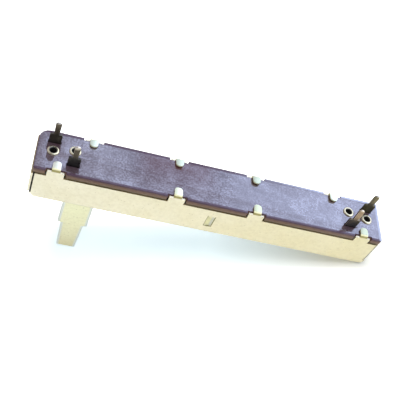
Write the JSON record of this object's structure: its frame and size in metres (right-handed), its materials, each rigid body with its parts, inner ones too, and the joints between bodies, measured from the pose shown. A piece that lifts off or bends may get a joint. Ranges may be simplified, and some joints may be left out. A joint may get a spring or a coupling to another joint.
{
  "type": "slide potentiometer",
  "caption": "Straight slide potentiometer: folded steel can closed by a laminate board, solder terminals on the board and a stepped flat lever through the slot.",
  "frame": {"origin": "middle of the panel face, which is the outer side of the can's floor, half way along the travel", "axes": "+X along the body and along the lever's travel, +Y across the body, +Z from the panel face to the board and its terminals; the lever points along -Z"},
  "size_m": [0.0854, 0.0116, 0.0425],
  "materials": {
    "zinc_plated_steel": "yellow-green zinc plating, semi-bright and mottled",
    "lever_steel": "olive zinc plating, satin",
    "phenolic_laminate": "dark red-brown laminate, semi-gloss",
    "tinned_brass": "tinned, semi-bright",
    "tarnished_tin": "tinned, tarnished dark",
    "carbon_film": "matte black carbon film",
    "silver_film": "silver ink, satin",
    "acetal": "natural moulded acetal, satin",
    "phosphor_bronze": "bright spring strip",
    "spring_steel": "bright spring strip"
  },
  "bodies": {
    "housing": {"frame": "zinc_plated_steel", "base_board": "phenolic_laminate", "carbon_track": "carbon_film", "collector_track": "silver_film", "silver_pad_left": "silver_film", "silver_pad_right": "silver_film", "eyelet_outer_left": "tinned_brass", "eyelet_inner_left": "tinned_brass", "eyelet_inner_right": "tinned_brass", "eyelet_outer_right": "tinned_brass", "terminal_outer_left": "tarnished_tin", "terminal_inner_left": "tarnished_tin", "terminal_inner_right": "tarnished_tin", "terminal_outer_right": "tarnished_tin"},
    "slider": {"lever": "lever_steel", "carriage": "acetal", "wiper": "phosphor_bronze", "click_spring": "spring_steel"}
  },
  "joints": [
    {"name": "lever_slide", "type": "slide", "parent": "housing", "child": "slider", "axis": [1, 0, 0], "range_m": [0, 0.06]}
  ]
}
